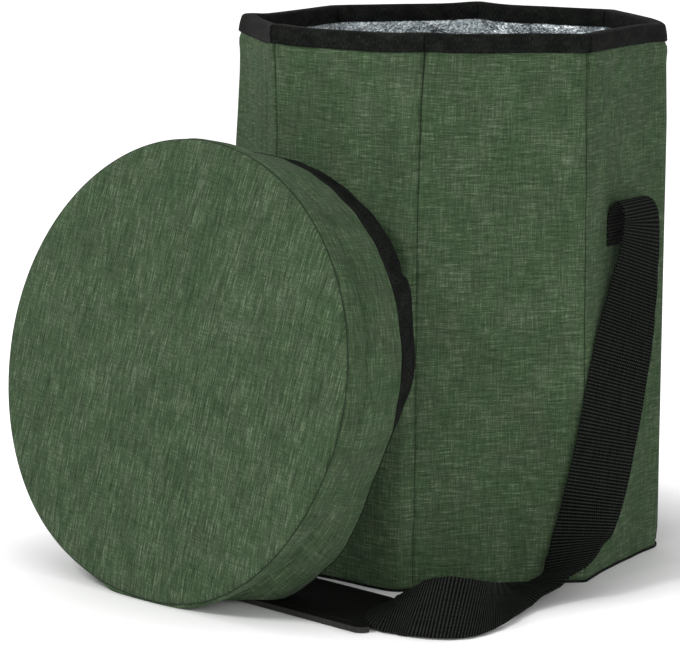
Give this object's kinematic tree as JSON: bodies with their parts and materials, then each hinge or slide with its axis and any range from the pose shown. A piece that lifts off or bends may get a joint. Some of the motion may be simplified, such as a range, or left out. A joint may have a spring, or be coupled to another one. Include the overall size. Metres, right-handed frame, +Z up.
{
  "type": "cooler bag",
  "caption": "Octagonal insulated cooler bag in heathered fabric with black edging and foil lining, its round padded seat lid leaning on it, and a webbing shoulder strap with a sliding pad.",
  "frame": {"origin": "centre of the tub's underside, on the surface that it stands on", "axes": "+Z up the tub's axis, -Y out of the front panel that the lid leans on, +X out of the right panel that the strap is sewn to"},
  "size_m": [0.4393, 0.4447, 0.404],
  "materials": {
    "green_fabric": "heathered green woven polyester, matt",
    "black_binding": "black woven tape, matt",
    "black_webbing": "black ribbed webbing with a slight sheen",
    "black_pad_cloth": "black woven cloth, matt",
    "foil_lining": "silver metallised film, crinkled",
    "stiffener_board": "bare fibreboard",
    "white_foam": "closed-cell foam"
  },
  "bodies": {
    "root": {"outer_panel_front": "green_fabric", "outer_panel_front_right": "green_fabric", "outer_panel_right": "green_fabric", "outer_panel_back_right": "green_fabric", "outer_panel_back": "green_fabric", "outer_panel_back_left": "green_fabric", "outer_panel_left": "green_fabric", "outer_panel_front_left": "green_fabric", "stiffener_board_front": "stiffener_board", "stiffener_board_front_right": "stiffener_board", "stiffener_board_right": "stiffener_board", "stiffener_board_back_right": "stiffener_board", "stiffener_board_back": "stiffener_board", "stiffener_board_back_left": "stiffener_board", "stiffener_board_left": "stiffener_board", "stiffener_board_front_left": "stiffener_board", "foam_panel_front": "white_foam", "foam_panel_front_right": "white_foam", "foam_panel_right": "white_foam", "foam_panel_back_right": "white_foam", "foam_panel_back": "white_foam", "foam_panel_back_left": "white_foam", "foam_panel_left": "white_foam", "foam_panel_front_left": "white_foam", "base_cover": "black_binding", "base_board": "stiffener_board", "base_foam": "white_foam", "base_liner": "foil_lining", "liner_wall": "foil_lining", "rim_binding": "black_binding", "base_binding": "black_binding", "strap_anchor_right": "black_webbing", "strap_right": "black_webbing", "strap_anchor_left": "black_webbing", "strap_left": "black_webbing", "strap_pad_run": "black_webbing"},
    "lid": {"lid_top_cover": "green_fabric", "lid_foam_pad": "white_foam", "lid_board": "stiffener_board", "lid_lining": "foil_lining", "lid_boxing": "green_fabric", "lid_hem_binding": "black_binding"},
    "shoulder_pad": {"pad_base": "black_pad_cloth", "pad_foam": "white_foam", "pad_sleeve": "black_pad_cloth"}
  },
  "joints": [
    {"name": "lid_tip", "type": "hinge", "parent": "root", "child": "lid", "pos_m": [-0.09055, -0.28982, 0], "axis": [0.9893, -0.1461, 0], "range_deg": [0, 101.4]},
    {"name": "pad_slide", "type": "slide", "parent": "root", "child": "shoulder_pad", "axis": [-0.9819, 0.1892, 0], "range_m": [0, 0.035]}
  ]
}
